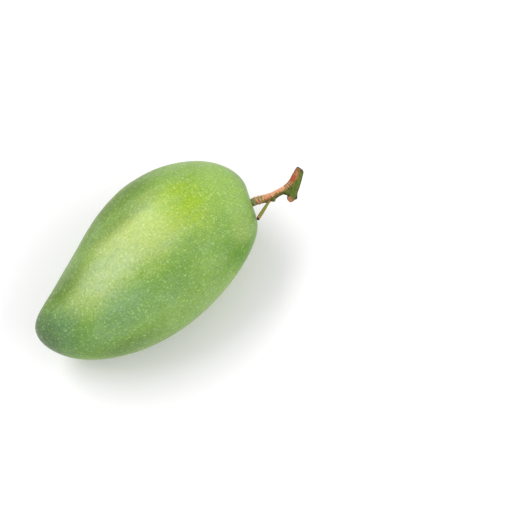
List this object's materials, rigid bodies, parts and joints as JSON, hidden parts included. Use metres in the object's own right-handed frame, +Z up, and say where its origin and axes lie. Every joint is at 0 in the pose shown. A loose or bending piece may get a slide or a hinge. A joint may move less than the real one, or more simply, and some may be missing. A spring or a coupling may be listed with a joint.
{
  "type": "mango",
  "caption": "Green mango as picked, an egg-shaped fruit with a blunt beak and a short woody stalk, lying on its cheek.",
  "frame": {"origin": "middle of the small flat spot on the cheek that the fruit lies on, under the fruit's centre of mass", "axes": "+X along the fruit from its beak to its stalk, +Y across its breadth towards the side that hollows above the beak, +Z up, out of the surface that it lies on"},
  "size_m": [0.1707, 0.0843, 0.0676],
  "materials": {
    "skin": "satin waxy peel, mid green to yellow-green with a pale bloom and fine pale dots",
    "bark": "matt corky bark, red-brown over olive green"
  },
  "bodies": {
    "root": {"fruit": "skin", "stalk": "bark"}
  },
  "joints": []
}
